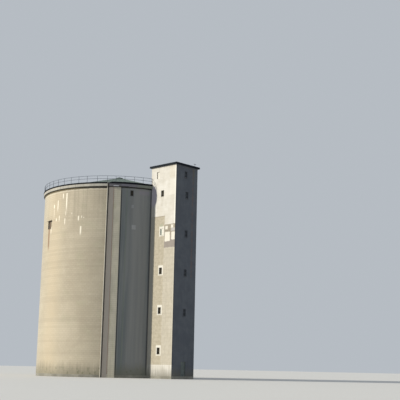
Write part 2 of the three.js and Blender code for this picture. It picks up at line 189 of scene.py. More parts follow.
def boards(name, material, slot, origin, frame_m, boxes):
    """A piece made of eased boxes, each given by its low corner, high corner and bevel."""
    bm = bmesh.new()
    for lo, hi, bevel in boxes:
        block(bm, origin, frame_m, lo, hi, bevel)
    return piece(name, bm, material, slot)


def named(prefix):
    return sorted(n for n in nodes if n.startswith(prefix))


# Material tools

class Value:
    """What a node gives out. It can be added, taken away and multiplied like a number."""

    def __init__(self, mat, socket):
        self.mat, self.socket = mat, socket

    def __add__(self, other):
        return self.mat.op("ADD", self, other)

    def __sub__(self, other):
        return self.mat.op("SUBTRACT", self, other)

    def __rsub__(self, other):
        return self.mat.op("SUBTRACT", other, self)

    def __mul__(self, other):
        return self.mat.op("MULTIPLY", self, other)

    __radd__, __rmul__ = __add__, __mul__

    def lay(self, mask, color):
        """Lay a coat of another colour over this one, as far as the mask says."""
        self.socket = self.mat.mix(mask, self, color).socket


class Mat:
    """A procedural material on object coordinates, in metres."""

    def __init__(self, name, metal=0, shine=0.5):
        self.m = bpy.data.materials.new(name)
        self.m.use_nodes = True
        self.t = self.m.node_tree
        self.t.nodes.clear()
        new = self.t.nodes.new
        out = new("ShaderNodeOutputMaterial")
        self.b = new("ShaderNodeBsdfPrincipled")
        self.b.inputs["Metallic"].default_value = metal
        self.b.inputs["Specular IOR Level"].default_value = shine
        self.t.links.new(self.b.outputs[0], out.inputs[0])
        self.p = Value(self, new("ShaderNodeTexCoord").outputs["Object"])
        split = new("ShaderNodeSeparateXYZ")
        self.put(split.inputs[0], self.p)
        self.x, self.y, self.z = (Value(self, socket) for socket in split.outputs)

    def put(self, socket, value):
        """Link a value to an input, or set the input to a number or a colour."""
        if isinstance(value, Value):
            self.t.links.new(value.socket, socket)
        elif isinstance(value, tuple) and socket.type == "RGBA":
            socket.default_value = (*value, 1)
        else:
            socket.default_value = value

    def node(self, kind, inputs, out=0, **settings):
        n = self.t.nodes.new("ShaderNode" + kind)
        for key, value in settings.items():
            setattr(n, key, value)
        for key, value in inputs.items():
            self.put(n.inputs[key], value)
        return Value(self, n.outputs[out])

    def op(self, kind, a, b=0, clamp=False):
        return self.node("Math", {0: a, 1: b}, operation=kind, use_clamp=clamp)

    def most(self, a, b):
        return self.op("MAXIMUM", a, b)

    def floor(self, value, size):
        return self.op("FLOOR", self.op("DIVIDE", value, size))

    def step(self, value, lo, hi):
        """0 below lo and 1 above hi, smooth between them; lo may be the higher."""
        falls = lo > hi
        return self.node("MapRange", {0: value, 1: min(lo, hi), 2: max(lo, hi), 3: float(falls),
                                      4: float(not falls)}, interpolation_type="SMOOTHSTEP")

    def vec(self, x, y, z):
        return self.node("CombineXYZ", {0: x, 1: y, 2: z})

    def scaled(self, sx, sy, sz):
        return self.node("Mapping", {"Vector": self.p, "Scale": (sx, sy, sz)})

    def noise(self, vector, scale, detail, rough=0.55, warp=0):
        return self.node("TexNoise", {"Vector": vector, "Scale": scale, "Detail": detail,
                                      "Roughness": rough, "Distortion": warp})

    def cell(self, vector):
        return self.node("TexWhiteNoise", {"Vector": vector}, noise_dimensions="3D")

    def mix(self, fac, a, b):
        return self.node("Mix", {0: fac, 6: a, 7: b}, out=2, data_type="RGBA")

    def window(self, value, lo, hi, soft):
        """1 where lo < value < hi, with soft ends."""
        return self.step(value, lo - soft, lo + soft) * self.step(value, hi + soft, hi - soft)

    def patch(self, u, v, u0, u1, v0, v1, soft):
        return self.window(u, u0, u1, soft) * self.window(v, v0, v1, soft)

    def line(self, value, pitch, half, shift=0):
        """1 on thin lines an even pitch apart."""
        cell = self.op("FRACT", self.op("DIVIDE", value + shift, pitch))
        edge = 0.5 - half / pitch
        return self.step(self.op("ABSOLUTE", cell - 0.5), edge - half / pitch * 0.8, edge)

    def angle(self):
        """Angle in degrees round the silo."""
        return self.op("ARCTAN2", self.y, self.x) * (180 / pi)

    def reach(self):
        """Distance from the silo's axis."""
        return self.op("SQRT", self.x * self.x + self.y * self.y)

    def along(self, direction):
        return self.x * direction.x + self.y * direction.y

    def bump(self, height, distance, strength, under=None):
        inputs = {"Height": height, "Distance": distance, "Strength": strength}
        return self.node("Bump", inputs if under is None else {**inputs, "Normal": under})

    def done(self, color, rough, normal=None):
        self.put(self.b.inputs["Base Color"], color)
        self.put(self.b.inputs["Roughness"], rough)
        if normal is not None:
            self.put(self.b.inputs["Normal"], normal)
        return self.m


# Finishes

# Where the finishes change, in degrees round the silo and metres above the ground.
SLIP_DEG = (-40.5, -10)  # slip-formed concrete, from the pilaster to the tower
SOOTY_DEG = (-49.4, -10)  # soot on the ring beam
CHEEKS_DEG = (-50.8, -48.8)  # the notch that the pipe passes through
WINDOW_DEG = (-33.7, -31)  # lintel and run of the window in the silo's wall
BAY_DEG = 15  # from joint to joint of the ring beam
LANE_DEG = 5  # from lap to lap of the roofing felt
BLOCK_LONG, BLOCK_HIGH, BLOCK_JOINT = 1.2, 0.59, 0.012  # the tower's blocks, under its paint
BLOCK_START = 0.35
BARE_FOOT, BARE_SIDE, BARE_HEAD = 2, 14.5, 24.08  # bare patch beside the near windows
PAST_CORNER = 17.2  # beyond the tower's outer corner
BROWN_FOOT, BROWN_HEAD = 19.2, 22.74
# White blocks left in the brown patch, and the painted surrounds of the near windows.
WHITE_BLOCKS = ((14.7, 15.22, 21.98, 22.5), (15.86, 16.37, 22.12, 22.6), (14.6, 15.68, 20.15, 21.6),
                (15.98, 16.72, 20.35, 21.52))
SURROUNDS = ((21.02, 22.54), (15.12, 16.62), (9.22, 10.72), (3.32, 4.82))

PILASTER_OUT = polar(1, PILASTER_DEG)
PILASTER_ACROSS = Vector((-PILASTER_OUT.y, PILASTER_OUT.x, 0))

# White lime runs: angle, top, length and width.
LIME_RUNS = ((-87.4, 27.85, 0.85, 0.16), (-83.6, 27.85, 2.75, 0.2), (-93.3, 26.9, 1.75, 0.17),
             (-98.2, 26.35, 0.65, 0.2), (-98, 25.6, 1.5, 0.07), (-91, 24.45, 0.9, 0.12),
             (-84.6, 23.9, 1, 0.14), (-84, 25, 0.7, 0.08), (-71.9, 24.1, 0.8, 0.19),
             (-69.2, 24.1, 0.4, 0.1), (-67.5, 23.9, 0.2, 0.1), (-69.7, 22.5, 1.4, 0.22),
             (-94.6, 24.1, 0.5, 0.18), (-101.5, 22.9, 1.1, 0.14), (-78, 24.7, 0.3, 0.08))


def lime_mask(m, deg, grain):
    total = None
    for centre, top, length, width in LIME_RUNS:
        half = degrees(width / 2 / RADIUS)
        across = m.op("ABSOLUTE", deg - centre)
        side = m.step(across, half * 1.7, half * 0.5)
        down = m.step(m.z, top + 0.05, top - 0.08)
        run = side * (down * m.step(m.z, top - length * 1.15, top - length * 0.6))
        total = run if total is None else m.most(total, run)
    return total * m.step(grain, 0.18, 0.45)


def silo_concrete():
    m = Mat("silo_concrete")
    deg = m.angle()
    arc = deg * radians(RADIUS)
    slip = m.window(deg, *SLIP_DEG, 0.2)
    blocks = 1 - slip

    # Block courses: running bond that closes on itself round the wall.
    tone = m.node("TexBrick", {
        "Vector": m.vec(arc, m.z, 0), "Scale": 1, "Row Height": COURSE,
        "Brick Width": 2 * pi * RADIUS / BLOCKS_ROUND, "Mortar Size": 0.012,
        "Mortar Smooth": 0.35, "Color1": (0, 0, 0), "Color2": (1, 1, 1),
        "Mortar": (0.5, 0.5, 0.5)})
    joint = Value(m, tone.socket.node.outputs["Fac"])
    row_tone = m.cell(m.vec(0, m.floor(m.z, COURSE), 0))
    bay_tone = m.cell(m.vec(m.floor(deg + 58.5, 13), 5, 0))

    broad = m.noise(m.scaled(0.16, 0.16, 0.22), 1, 5, 0.6, 0.3)
    cloud = m.noise(m.scaled(1, 1, 0.8), 0.9, 6, 0.62)
    runs = m.noise(m.scaled(1.5, 1.5, 0.055), 1.3, 5, 0.6)
    fine_runs = m.noise(m.scaled(6, 6, 0.12), 1, 4, 0.6)
    grain = m.noise(m.p, 9, 6, 0.65)
    pits = m.noise(m.p, 55, 3, 0.6)

    color = m.mix(m.step(broad, 0.32, 0.68), (0.375, 0.33, 0.255), (0.45, 0.402, 0.315))
    color.lay(m.step(cloud, 0.5, 0.75) * 0.35, (0.34, 0.305, 0.24))
    color.lay(m.step(bay_tone, 0.2, 0.9) * 0.16, (0.37, 0.345, 0.255))
    greenish = m.step(m.noise(m.scaled(0.22, 0.22, 0.3), 1.7, 3), 0.52, 0.7) * 0.22
    color.lay(greenish, (0.345, 0.345, 0.24))
    color.lay(m.window(deg, -104, -88, 7) * 0.62, (0.47, 0.4, 0.29))
    color.lay(m.window(deg, -125, -113, 4) * 0.4, (0.345, 0.33, 0.285))
    paler = m.op("MULTIPLY", (tone * 0.9 - 0.45) * blocks, 0.3, clamp=True)
    color.lay(paler, (0.52, 0.47, 0.375))
    color.lay(m.step(row_tone, 0.5, 1) * 0.2, (0.29, 0.255, 0.195))
    joint_fac = joint * blocks * m.step(grain, 0.25, 0.6)
    color.lay(joint_fac * 0.45, (0.235, 0.205, 0.155))

    # The slip-formed sector is greyer, with long vertical marks.
    cast = m.mix(m.step(runs, 0.38, 0.64), (0.128, 0.146, 0.152), (0.182, 0.192, 0.192))
    cast.lay(m.step(fine_runs, 0.55, 0.75) * 0.35, (0.145, 0.15, 0.148))
    # A paler stretch nearer the tower: painted light, standing in for light thrown back off the
    # tower's sunlit side.
    cast.lay(m.window(deg, -33, -19.6, 2) * 0.55, (0.222, 0.226, 0.224))
    cast.lay(m.window(deg, -36.3, -35.5, 0.3) * 0.35, (0.13, 0.165, 0.115))
    # Painted shade: dark lines in the corners beside the pilaster and the tower.
    by_tower = m.step(deg, -18.4, -17.6) * m.step(deg, -10, -16)
    corner_shade_lines = m.most(m.window(deg, -40.6, -39.5, 0.25), by_tower)
    cast.lay(corner_shade_lines * 0.85, (0.035, 0.038, 0.042))
    cast.lay(m.patch(deg, m.z, *WINDOW_DEG, 28, 28.09, 0.02) * 0.8, (0.05, 0.055, 0.055))
    color.lay(slip, cast)

    color.lay(m.patch(deg, m.z, -27, -19, 27.5, 28.15, 0.2) * 0.4, (0.225, 0.2, 0.25))

    # Painted shade and soot under the eaves with a lime band below it, runs, painted shade behind
    # the pipe, damp at the foot.
    edge_z = m.z + (runs - 0.5) * 0.12
    pale_band = m.window(edge_z, 28.08, 28.28, 0.04) * 0.45
    color.lay(pale_band, m.mix(slip, (0.57, 0.535, 0.445), (0.2, 0.205, 0.205)))
    # The dark line under the ring beam is painted shade with soot, blacker towards the front where
    # the shadow under the ring is deeper.
    black = m.mix(m.step(deg, -80, -62), (0.084, 0.064, 0.026), (0.014, 0.014, 0.011))
    eaves_shade_and_soot = m.step(edge_z - slip * 0.12, 28.23, 28.32) * 0.93
    color.lay(eaves_shade_and_soot, black)
    dirt = m.step(runs, 0.5, 0.72) * m.step(m.z, 20, 28.2) * 0.34
    color.lay(dirt * blocks, (0.2, 0.182, 0.142))
    # Painted shade in the narrow gap between the pipe and the pilaster.
    shade_behind_pipe = m.window(deg, -50, -48.9, 0.12) * 0.8
    color.lay(shade_behind_pipe, (0.085, 0.078, 0.062))
    damp = m.step(m.z + runs * -2.6, 1.2, -0.9)
    color.lay(damp * 0.62, (0.125, 0.122, 0.088))
    moss = m.step(m.noise(m.p, 1.8, 6, 0.7), 0.52, 0.66) * m.step(m.z, 2.4, 0.2) * 0.6
    color.lay(moss, (0.07, 0.088, 0.036))
    rust = m.window(deg, -106.2, -103.6, 0.5) * m.window(m.z, 19.5, 23.3, 0.6)
    color.lay(rust * m.step(fine_runs, 0.3, 0.55) * 0.75, (0.17, 0.08, 0.038))
    sill_run = m.window(deg, *WINDOW_DEG, 0.35) * m.window(m.z, 22.8, 27.2, 0.5)
    color.lay(sill_run * m.step(fine_runs, 0.4, 0.65) * 0.3, (0.12, 0.122, 0.118))
    color.lay(lime_mask(m, deg, grain) * 0.92, (0.8, 0.76, 0.65))
    color.lay(m.step(pits, 0.6, 0.72) * 0.18, (0.19, 0.172, 0.135))

    height = grain * 0.7 - joint_fac * 1.2 + tone * blocks * 0.3
    coarse = m.bump(height, 0.012, 0.9)
    return m.done(color, 0.82 + grain * 0.14, m.bump(pits, 0.003, 0.5, coarse))


def plain_concrete(name, light, dark, stain, run=0.5, extra=None):
    """Cast concrete with runs, blotches and fine pits. The extra step may add marks of its own."""
    m = Mat(name)
    runs = m.noise(m.scaled(2.4, 2.4, 0.1), 1.2, 5, 0.6)
    cloud = m.noise(m.p, 0.55, 6, 0.62, 0.2)
    grain = m.noise(m.p, 8, 6, 0.66)
    pits = m.noise(m.p, 48, 3, 0.6)
    color = m.mix(m.step(cloud, 0.35, 0.68), dark, light)
    color.lay(m.step(runs, 0.48, 0.72) * run, stain)
    height = grain * 0.6
    if extra:
        height = extra(m, color, height)
    color.lay(m.step(pits, 0.6, 0.74) * 0.2, stain)
    coarse = m.bump(height, 0.01, 0.9)
    return m.done(color, 0.8 + grain * 0.16, m.bump(pits, 0.003, 0.5, coarse))


def beam_marks(m, color, height):
    """Joints, marks of the formwork's boards, soot from the pilaster to the tower, and painted
    shade over the pilaster, along the ring's lowest edge and inside the notch.
    """
    deg = m.angle()
    joint = m.line(deg, BAY_DEG, 0.11, 360)
    color.lay(joint * 0.55, (0.11, 0.1, 0.082))
    bay = m.cell(m.vec(m.floor(deg + 360, BAY_DEG), 3, 0))
    color.lay(m.step(bay, 0.3, 1) * 0.16, (0.26, 0.24, 0.2))
    color.lay(m.line(m.z, 0.18, 0.006) * 0.2, (0.21, 0.19, 0.15))
    patchy = m.noise(m.scaled(0.9, 0.9, 1.6), 1.1, 5, 0.65)
    soot = m.mix(m.step(patchy, 0.36, 0.66), (0.112, 0.108, 0.136), (0.152, 0.148, 0.17))
    soot.lay(m.step(deg, -31, -25) * 0.8, (0.15, 0.172, 0.136))
    soot.lay(m.window(deg, -39.8, -34.5, 0.4) * 0.6, (0.168, 0.16, 0.202))
    color.lay(m.window(deg, *SOOTY_DEG, 0.1) * 0.94, soot)
    # Painted shade on the ring over the pilaster, below the coping: the pipe's shadow and grazing
    # light.
    color.lay(m.window(deg, -49.4, -40.5, 0.2) * m.step(m.z, 29, 28.9) * 0.42, (0.06, 0.062, 0.066))
    # A dark line along the ring's lowest edge all round: painted shade of its underside.
    color.lay(m.step(m.z, 28.62, 28.57) * 0.6, (0.06, 0.056, 0.05))
    # Darker along the ring's lowest edge right of the pilaster.
    low_dark_band = m.window(deg, -41, -35, 0.6) * m.step(m.z, 28.7, 28.64) * 0.75
    color.lay(low_dark_band, (0.045, 0.048, 0.05))
    # Painted shade inside the notch, near black.
    notch_shade = m.window(deg, *CHEEKS_DEG, 0.05) * m.step(m.reach(), 12.19, 12.16) * 0.9
    color.lay(notch_shade, (0.03, 0.03, 0.03))
    return height - joint * 1.4


def pilaster_marks(m, color, height):
    """A greyer band beside the pipe, courses on the rest, a pale chipped corner, and painted shade
    at the left margin by the pipe and under the ring beam.
    """
    across = m.along(PILASTER_ACROSS)
    course = m.line(m.z, COURSE, 0.01) * m.step(across, -0.2, -0.12)
    moss = m.step(m.noise(m.scaled(1.2, 1.2, 0.3), 1.6, 5, 0.6), 0.46, 0.7)
    color.lay(moss * 0.45, (0.335, 0.335, 0.225))
    color.lay(course * 0.45, (0.23, 0.208, 0.16))
    color.lay(m.step(across, -0.16, -0.24) * 0.85, (0.365, 0.325, 0.285))
    color.lay(m.step(across, 0.8, 0.86) * 0.35, (0.3, 0.3, 0.28))
    # Painted shade on the left margin beside the pipe, higher up.
    pipe_side_shade = m.step(across, -0.82, -0.88) * m.step(m.z, 25.2, 27.4) * 0.55
    color.lay(pipe_side_shade, (0.13, 0.118, 0.095))
    # Painted shade: a dark band at the top, under the ring beam.
    color.lay(m.step(m.z, 28.4, 28.46) * 0.9, (0.03, 0.03, 0.028))
    return height - course * 0.9


def tower_render():
    """Paint over blocks, with bare and brown patches on the near side, a painted highlight on its
    outer corner, painted shade in the corner by the silo, and a grey outer face darkened with
    painted shade.
    """
    m = Mat("tower_render")
    near = m.step(m.y, -3.2, -3.4)
    front = m.step(m.x, 16.5, 16.6) * (1 - m.step(m.y, -3.56, -3.585))
    wobble = m.noise(m.p, 2.6, 5, 0.6) - 0.5
    fx = m.x + wobble * 0.26
    fz = m.z + wobble * 0.3
    cloud = m.noise(m.p, 0.6, 6, 0.62, 0.25)
    blot = m.noise(m.p, 2.2, 6, 0.68)
    runs = m.noise(m.scaled(3, 3, 0.12), 1.2, 5, 0.62)
    grain = m.noise(m.p, 11, 6, 0.66)
    pits = m.noise(m.p, 60, 3, 0.6)

    # Paint over 1.2 m by 0.6 m blocks, with their joints faint through it.
    along = m.x + m.y
    upright = m.line(along, BLOCK_LONG, BLOCK_JOINT, BLOCK_START)
    joints = m.most(upright, m.line(m.z, BLOCK_HIGH, BLOCK_JOINT))
    across = m.floor(along + BLOCK_START, BLOCK_LONG)
    cell_tone = m.cell(m.vec(across, m.floor(m.z, BLOCK_HIGH), 1))

    color = m.mix(m.step(cloud, 0.34, 0.66), (0.495, 0.478, 0.434), (0.578, 0.566, 0.532))
    color.lay(m.step(cell_tone, 0.5, 1) * 0.22, (0.48, 0.45, 0.385))
    color.lay(m.step(runs, 0.52, 0.74) * 0.3, (0.42, 0.392, 0.33))
    color.lay(m.step(blot, 0.62, 0.72) * 0.35, (0.45, 0.415, 0.345))
    color.lay(joints * 0.2, (0.36, 0.335, 0.285))
    bare = m.mix(m.step(blot, 0.35, 0.66), (0.33, 0.298, 0.23), (0.4, 0.365, 0.29))
    bare.lay(joints * 0.35, (0.215, 0.192, 0.148))
    brown = m.mix(m.step(blot, 0.36, 0.64), (0.215, 0.19, 0.15), (0.285, 0.255, 0.2))
    brown.lay(m.step(fz, 21.4, 20.2) * 0.7, (0.235, 0.21, 0.2))

    def coat(u, v, sides, soft, tint, amount=1):
        """Lay a patch on the near side."""
        color.lay(m.patch(u, v, *sides, soft) * near * amount, tint)

    # A warm upper panel with a whiter one below it, and a painted highlight along the outer corner.
    coat(fx, fz, (15.35, 16.75, 29.75, 31.9), 0.08, (0.5, 0.455, 0.37), 0.35)
    coat(fx, fz, (15.45, 16.8, 27.2, 29.6), 0.1, (0.62, 0.605, 0.555), 0.55)
    color.lay(m.step(m.x, 16.46, 16.54) * near * 0.85, (0.69, 0.68, 0.635))
    # Bare concrete below the painted part, with a dark rim at its head.
    coat(fx, m.z, (10, BARE_SIDE, BARE_FOOT, BARE_HEAD), 0.02, bare)
    rim = (10, BARE_SIDE + 0.02, BARE_HEAD - 0.1, BARE_HEAD + 0.04)
    coat(fx, m.z, rim, 0.02, (0.21, 0.175, 0.135), 0.55)
    # A brown patch with a lilac one and white blocks in it, and paler bare concrete below it.
    coat(fx, fz, (BARE_SIDE, PAST_CORNER, BROWN_FOOT, BROWN_HEAD), 0.03, brown)
    coat(fx, fz, (15.9, 16.66, 21.66, 22.1), 0.08, (0.42, 0.41, 0.415), 0.8)
    for sides in WHITE_BLOCKS:
        coat(fx, fz, sides, 0.07, (0.61, 0.59, 0.53))
    coat(fx, m.z, (BARE_SIDE, PAST_CORNER, BARE_FOOT, BROWN_FOOT), 0.05, bare, 0.75)
    # The windows' surrounds, a green mark over the second one and a grey strip beside it.
    for ends in SURROUNDS:
        coat(m.x, m.z, (13.42, 14.42, *ends), 0.02, (0.6, 0.585, 0.53))
    coat(fx, fz, (13.5, 14.14, 22.46, 22.84), 0.06, (0.3, 0.325, 0.245), 0.6)
    coat(m.x, m.z, (14.42, 14.62, 20.9, 22.45), 0.04, (0.265, 0.25, 0.225), 0.7)
    # The outer face is dark grey, partly its own grey and partly painted shade, with dirt and rust.
    outer_grey_and_shade = m.mix(m.step(cloud, 0.36, 0.66), (0.072, 0.083, 0.102), (0.092, 0.104, 0.122))
    outer_grey_and_shade.lay(m.step(runs, 0.46, 0.7) * 0.4, (0.064, 0.072, 0.086))
    outer_grey_and_shade.lay(joints * 0.22, (0.07, 0.074, 0.08))
    stain = m.patch(m.y, m.z, -0.02, 0.34, 15, 31.7, 0.14) * m.step(blot, 0.36, 0.62)
    outer_grey_and_shade.lay(stain * 0.5, (0.14, 0.085, 0.068))
    algae = m.patch(m.y, m.z, 0.1, 0.5, 29.6, 31.7, 0.14) * m.step(blot, 0.4, 0.6)
    outer_grey_and_shade.lay(algae * 0.45, (0.105, 0.115, 0.06))
    outer_grey_and_shade.lay(m.step(m.y, -3.2, -3.42) * 0.45, (0.06, 0.064, 0.072))
    rings = [(FRONT_MIDDLE, sill - 0.18, sill + 1.02) for sill in FRONT_SILLS]
    for y, z0, z1 in [(TOP_MIDDLE, TOP_SILL - 0.22, TOP_SILL + 1)] + rings:
        ring = m.patch(m.y, m.z, y - 0.34, y + 0.34, z0, z1, 0.05) * 0.75
        outer_grey_and_shade.lay(ring, (0.056, 0.064, 0.078))
    color.lay(front, outer_grey_and_shade)
    # Painted shade in the corner beside the silo, following the silo's cast shadow, wider below the
    # ring beam where the ring's shadow bulges, with a dark line at the joint.
    shadow_bulge = m.window(m.z, 26.2, 28.3, 0.5) * 0.36
    below_eaves = m.step(m.z, 28.95, 28.75) * near
    strength = 0.72 + m.step(m.x, 11.6, 12) * 0.14
    corner_shade = m.step(m.x - shadow_bulge, 12.33, 12.24) * below_eaves * strength
    shade = m.mix(m.step(m.z, 25.4, 26.2), (0.24, 0.24, 0.22), (0.24, 0.23, 0.285))
    color.lay(corner_shade, shade)
    corner_shade_line = m.step(m.x, 11.64, 11.56) * below_eaves * 0.85
    color.lay(corner_shade_line, (0.065, 0.068, 0.07))
    # Runs under each sill, and dirt at the foot.
    for sill in SIDE_SILLS[:-1]:
        drip = m.patch(m.x, m.z, 13.56, 14.22, sill - 1.5, sill - 0.02, 0.05)
        color.lay(drip * m.step(runs, 0.42, 0.6) * 0.25, (0.26, 0.23, 0.18))
    foot = m.step(m.z + runs * -2.4, 0.9, -1)
    color.lay(foot * 0.7, (0.115, 0.11, 0.085))
    top = m.step(m.z, 31.3, 31.8) * m.step(runs, 0.4, 0.66) * 0.35
    color.lay(top, (0.22, 0.2, 0.165))
    color.lay(m.step(pits, 0.62, 0.75) * 0.14, (0.25, 0.225, 0.18))

    height = grain * 0.5 - joints * 0.9
    coarse = m.bump(height, 0.006, 0.9)
    return m.done(color, 0.76 + grain * 0.18, m.bump(pits, 0.002, 0.5, coarse))


def sheet_metal(name, base, worn, rust, rust_amount, rough, metal=0, shine=0.5):
    """Painted sheet or tube: dull patches, scratches, dirt runs and rust blooms."""
    m = Mat(name, metal, shine)
    cloud = m.noise(m.p, 1.6, 6, 0.62, 0.3)
    runs = m.noise(m.scaled(9, 9, 0.8), 1, 4, 0.6)
    fine = m.noise(m.p, 26, 5, 0.65)
    color = m.mix(m.step(cloud, 0.4, 0.7), base, worn)
    color.lay(m.step(runs, 0.55, 0.72) * 0.35, worn)
    bloom = m.step(m.noise(m.p, 3.2, 7, 0.72), 0.6, 0.68) * rust_amount
    color.lay(bloom, rust)
    height = cloud * 0.5 + fine * 0.25
    roughness = rough - 0.1 + cloud * 0.22 + bloom * 0.25
    return m.done(color, roughness, m.bump(height, 0.004, 0.6))


def pipe_paint():
    """Pale dull paint with runs and rust, and painted shade: black on the side that faces the
    pilaster and in a band under the ring beam.
    """
    m = Mat("pipe_paint")
    across = m.along(PILASTER_ACROSS)
    cloud = m.noise(m.p, 1.6, 6, 0.62, 0.3)
    runs = m.noise(m.scaled(9, 9, 0.5), 1, 4, 0.6)
    fine = m.noise(m.p, 26, 5, 0.65)
    color = m.mix(m.step(cloud, 0.4, 0.7), (0.36, 0.344, 0.3), (0.295, 0.28, 0.242))
    color.lay(m.step(runs, 0.52, 0.72) * 0.4, (0.215, 0.2, 0.168))
    rust = m.step(m.noise(m.p, 3.2, 7, 0.72), 0.6, 0.68) * 0.4
    color.lay(rust, (0.17, 0.095, 0.055))
    # Painted shade on the pipe's side away from the light and just under the ring beam.
    pipe_shade = m.step(across, PIPE_ACROSS - 0.015, PIPE_ACROSS + 0.03) * 0.93
    pipe_shade = m.most(pipe_shade, m.window(m.z, 28.28, 28.56, 0.04) * 0.7)
    color.lay(pipe_shade, (0.03, 0.028, 0.024))
    return m.done(color, 0.58 + cloud * 0.22, m.bump(cloud * 0.5 + fine * 0.25, 0.004, 0.6))


def roof_felt():
    m = Mat("roof_felt")
    lane = m.cell(m.vec(m.floor(m.angle() + 362.5, LANE_DEG), 0, 2))
    cloud = m.noise(m.p, 0.5, 6, 0.62, 0.3)
    patches = m.noise(m.p, 1.7, 6, 0.7)
    grit = m.noise(m.p, 90, 3, 0.7)
    color = m.mix(m.step(cloud, 0.34, 0.66), (0.092, 0.132, 0.12), (0.13, 0.174, 0.158))
    color.lay(lane * 0.3, (0.112, 0.14, 0.133))
    color.lay(m.step(patches, 0.55, 0.7) * 0.45, (0.155, 0.192, 0.148))
    color.lay(m.step(patches, 0.44, 0.32) * 0.4, (0.085, 0.105, 0.09))
    color.lay(m.step(grit, 0.55, 0.75) * 0.25, (0.2, 0.225, 0.212))
    # Darker towards the eaves: painted shade of the coping's upstand, with dirt.
    color.lay(m.step(m.reach(), 11.2, 11.7) * 0.6, (0.04, 0.052, 0.05))
    coarse = m.bump(grit, 0.003, 0.7)
    return m.done(color, 0.86 + cloud * 0.1, m.bump(cloud, 0.02, 0.5, coarse))


def dusty_glass(name, clean, dusty, rough, shine=0.5):
    m = Mat(name, shine=shine)
    dust = m.noise(m.p, 3.5, 6, 0.65)
    fine = m.noise(m.p, 30, 4, 0.6)
    color = m.mix(m.step(dust, 0.42, 0.72), clean, dusty)
    return m.done(color, rough - 0.04 + m.step(dust, 0.4, 0.75) * 0.15, m.bump(fine, 0.0008, 0.2))


def floor_concrete():
    m = Mat("floor_concrete")
    cloud = m.noise(m.p, 0.5, 6, 0.62)
    grain = m.noise(m.p, 7, 6, 0.68)
    color = m.mix(m.step(cloud, 0.35, 0.66), (0.165, 0.16, 0.135), (0.245, 0.238, 0.205))
    color.lay(m.step(grain, 0.55, 0.75) * 0.35, (0.11, 0.112, 0.08))
    return m.done(color, 0.84 + grain * 0.14, m.bump(grain, 0.012, 0.8))


CONCRETE = silo_concrete()
BEAM = plain_concrete("beam_concrete", (0.405, 0.394, 0.35), (0.34, 0.33, 0.296),
                      (0.225, 0.21, 0.18), run=0.5, extra=beam_marks)
PILASTER = plain_concrete("pilaster_concrete", (0.485, 0.455, 0.37), (0.412, 0.39, 0.32),
                          (0.28, 0.265, 0.215), run=0.4, extra=pilaster_marks)
REPAIR = plain_concrete("repair_mortar", (0.252, 0.262, 0.268), (0.212, 0.22, 0.226),
                        (0.145, 0.15, 0.148), run=0.35)
PALE_REPAIR = plain_concrete("pale_repair_mortar", (0.296, 0.304, 0.308), (0.258, 0.266, 0.27),
                             (0.19, 0.196, 0.195), run=0.3)
SILL = plain_concrete("sill_concrete", (0.64, 0.62, 0.56), (0.56, 0.54, 0.48), (0.4, 0.37, 0.31),
                      run=0.4)
# Dark sills for the faces out of the light: weathered, and darkened as painted shade.
SHADED_SILL = plain_concrete("weathered_shaded_sill", (0.11, 0.114, 0.122), (0.085, 0.09, 0.098),
                          (0.06, 0.062, 0.066), run=0.5)
RENDER = tower_render()
FLOOR = floor_concrete()
FELT = roof_felt()
DARK = sheet_metal("dark_sheet", (0.009, 0.013, 0.019), (0.014, 0.018, 0.024), (0.04, 0.024, 0.018),
                   0.3, rough=0.8, shine=0.1)
COPING = sheet_metal("coping_paint", (0.006, 0.008, 0.011), (0.01, 0.012, 0.016),
                     (0.03, 0.018, 0.014), 0.35, rough=0.85, shine=0.1)
RAIL = sheet_metal("rail_paint", (0.035, 0.05, 0.08), (0.065, 0.08, 0.11), (0.13, 0.06, 0.032), 0.5,
                   rough=0.5, metal=0.3)
PIPE = pipe_paint()
PALE = sheet_metal("pale_zinc", (0.43, 0.44, 0.47), (0.36, 0.37, 0.395), (0.19, 0.125, 0.08), 0.2,
                   rough=0.45, metal=0.3)
SEALANT = sheet_metal("red_sealant", (0.33, 0.225, 0.18), (0.27, 0.195, 0.16), (0.19, 0.11, 0.08),
                      0.5, rough=0.85)
# Brown for the niches' backs: painted shade beside the niches' reveals.
NICHE_SHADE = sheet_metal("brown_niche_shade", (0.25, 0.195, 0.15), (0.2, 0.16, 0.125), (0.15, 0.09, 0.06),
                      0.4, rough=0.9, shine=0.2)
RUSTY = sheet_metal("rusty_steel", (0.15, 0.11, 0.075), (0.12, 0.088, 0.06), (0.19, 0.098, 0.05),
                    0.8, rough=0.8, metal=0.2)
FRAMES = sheet_metal("frame_paint", (0.066, 0.055, 0.038), (0.05, 0.042, 0.03), (0.08, 0.048, 0.03),
                     0.6, rough=0.75, shine=0.1)
OUTER_FRAMES = sheet_metal("outer_frame_paint", (0.06, 0.066, 0.078), (0.048, 0.054, 0.064),
                           (0.08, 0.052, 0.04), 0.5, rough=0.75)
WHITE = sheet_metal("white_board", (0.6, 0.59, 0.54), (0.5, 0.485, 0.43), (0.24, 0.15, 0.1), 0.3,
                    rough=0.7)
DOOR = sheet_metal("door_paint", (0.095, 0.118, 0.114), (0.145, 0.162, 0.152),
                   (0.165, 0.078, 0.042), 0.7, rough=0.55, metal=0.2)
GLASS = dusty_glass("window_glass", (0.02, 0.017, 0.01), (0.032, 0.028, 0.018), 0.15, shine=0.3)
SHADED_GLASS = dusty_glass("shaded_glass", (0.034, 0.041, 0.051), (0.052, 0.058, 0.068), 0.3,
                           shine=0.3)
GREEN_GLASS = dusty_glass("green_glass", (0.1, 0.135, 0.11), (0.18, 0.205, 0.175), 0.35)


# CAD nodes that stay take their finished material.

